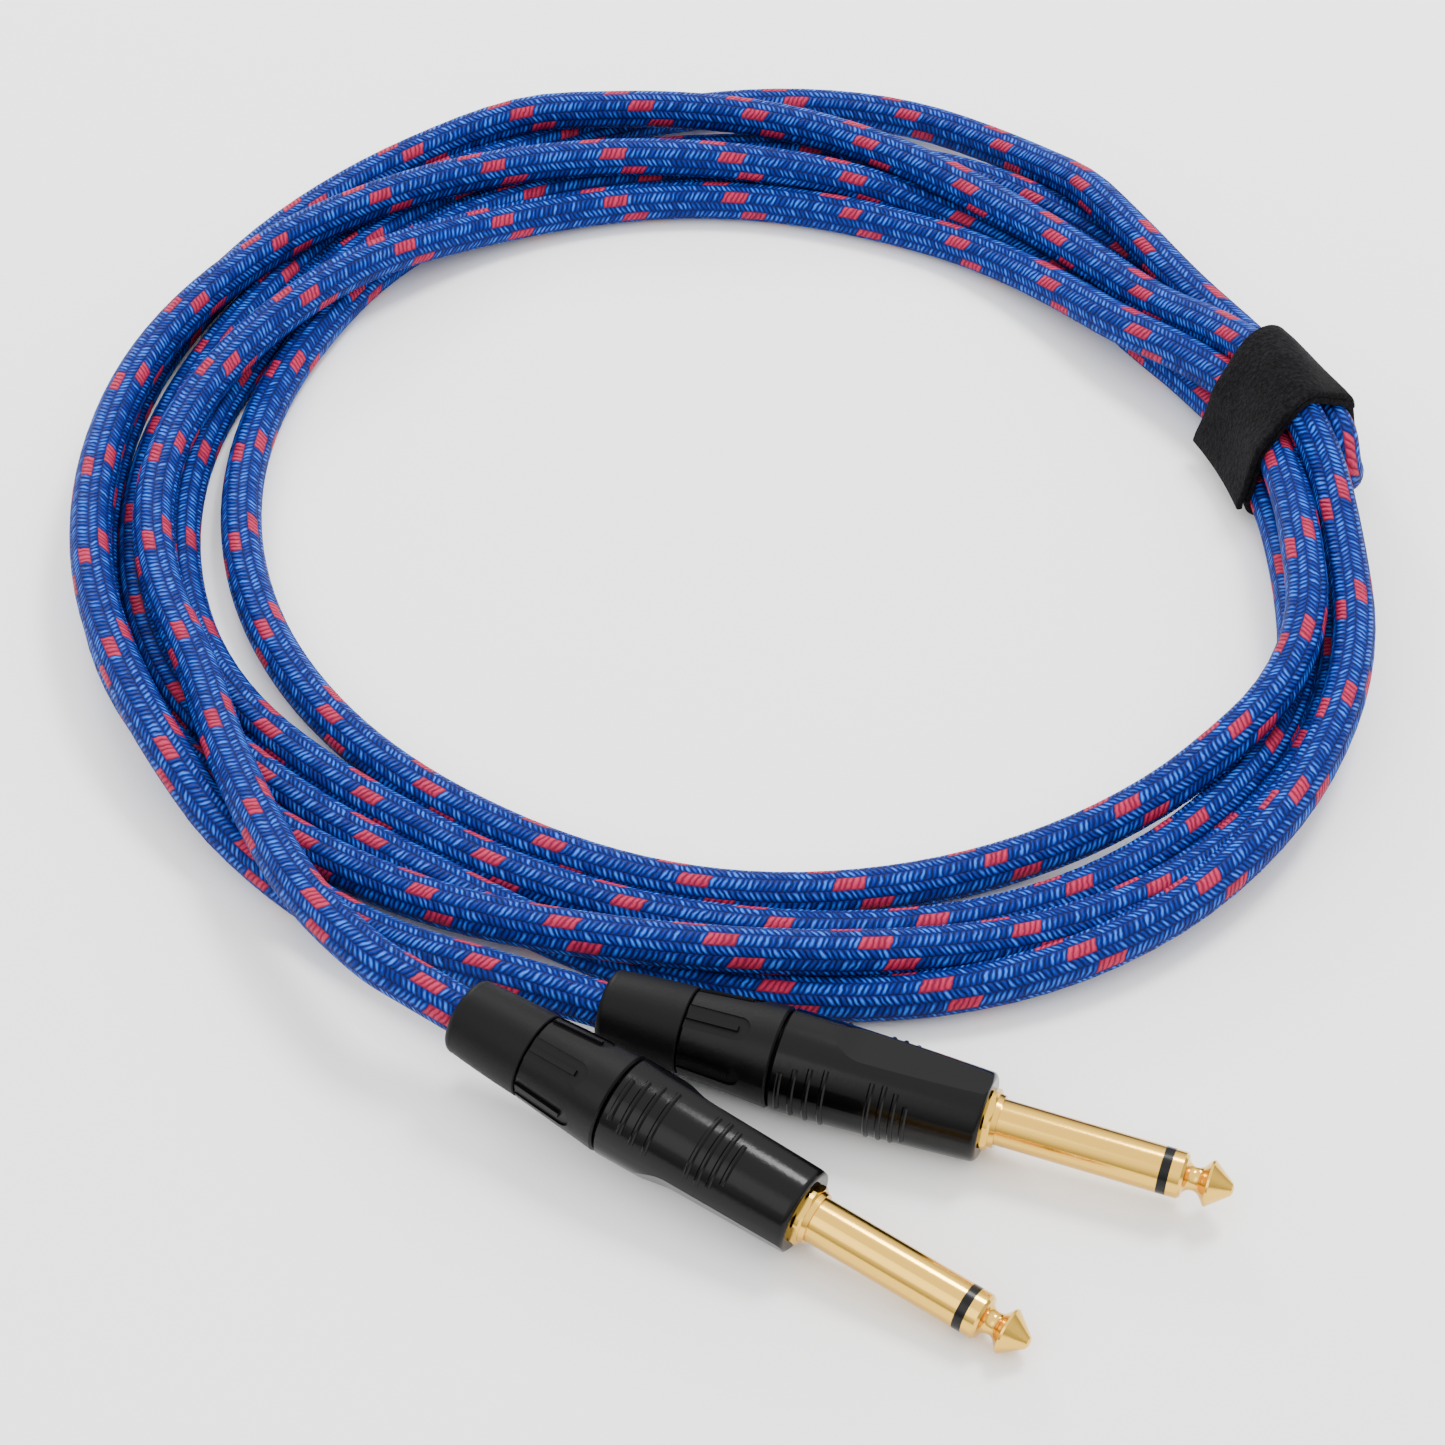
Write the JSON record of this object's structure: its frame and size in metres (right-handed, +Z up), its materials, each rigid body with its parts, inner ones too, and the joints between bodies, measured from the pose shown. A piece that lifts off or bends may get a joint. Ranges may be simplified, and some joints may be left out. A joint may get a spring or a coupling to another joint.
{
  "type": "instrument cable",
  "caption": "Braided instrument lead wound in a flat oval coil under a hook-and-loop tie, with a straight quarter-inch jack plug at each end.",
  "frame": {"origin": "on the floor under the middle of the two plugs and the tie, which are the parts that aren't cable", "axes": "+Z up, with coil and plugs lying on Z = 0; +Y from the plugs across the coil to the far side; +X towards the side of the coil that the tie is on, which is also where the plug tips point"},
  "size_m": [0.2104, 0.2741, 0.0181],
  "materials": {
    "jacket": "woven, matte",
    "tie": "brushed loop pile, matte",
    "gold": "polished plating",
    "insulator": "gloss",
    "shell": "semi-gloss",
    "grip": "matte",
    "boot": "matte",
    "liner": "satin",
    "core": "satin",
    "copper": "bare stranded wire"
  },
  "bodies": {
    "coil": {"cable_coil": "jacket", "cable_lead_a": "jacket", "cable_lead_b": "jacket", "tie_band": "tie", "plug_a_tip_contact": "gold", "plug_a_insulator": "insulator", "plug_a_sleeve_contact": "gold", "plug_a_ground_lug": "gold", "plug_a_retaining_nut": "gold", "plug_a_rear_washer": "insulator", "plug_a_tip_lug": "gold", "plug_a_shell": "shell", "plug_a_liner": "liner", "plug_a_chuck": "liner", "plug_a_cable_end": "jacket", "plug_a_core_wire": "core", "plug_a_shield_tail": "copper", "plug_b_tip_contact": "gold", "plug_b_insulator": "insulator", "plug_b_sleeve_contact": "gold", "plug_b_ground_lug": "gold", "plug_b_retaining_nut": "gold", "plug_b_rear_washer": "insulator", "plug_b_tip_lug": "gold", "plug_b_shell": "shell", "plug_b_liner": "liner", "plug_b_chuck": "liner", "plug_b_cable_end": "jacket", "plug_b_core_wire": "core", "plug_b_shield_tail": "copper"},
    "boot_a": {"plug_a_boot": "boot"},
    "nut_a": {"plug_a_grip_nut": "grip"},
    "boot_b": {"plug_b_boot": "boot"},
    "nut_b": {"plug_b_grip_nut": "grip"},
    "tail": {"tie_tail": "tie"}
  },
  "joints": [
    {"name": "boot_slide_a", "type": "slide", "parent": "coil", "child": "boot_a", "axis": [-0.836, 0.5387, 0.1045], "range_m": [0, 0.004]},
    {"name": "nut_turn_a", "type": "hinge", "parent": "boot_a", "child": "nut_a", "pos_m": [-0.0217, -0.07874, 0.00615], "axis": [-0.836, 0.5387, 0.1045], "range_deg": [0, 1440]},
    {"name": "boot_slide_b", "type": "slide", "parent": "coil", "child": "boot_b", "axis": [-0.94, 0.3403, 0.0262], "range_m": [0, 0.004]},
    {"name": "nut_turn_b", "type": "hinge", "parent": "boot_b", "child": "nut_b", "pos_m": [0.0028, -0.06263, 0.00631], "axis": [-0.94, 0.3403, 0.0262], "range_deg": [0, 1440]},
    {"name": "tail_peel", "type": "hinge", "parent": "coil", "child": "tail", "pos_m": [0.0592, 0.08521, 0.01555], "axis": [-0.3952, 0.9186, 0], "range_deg": [0, 85]}
  ],
  "couplings": [
    {"joint": "nut_turn_a", "follows": "boot_slide_a", "rad_per_m": 6283.2},
    {"joint": "nut_turn_b", "follows": "boot_slide_b", "rad_per_m": 6283.2}
  ]
}
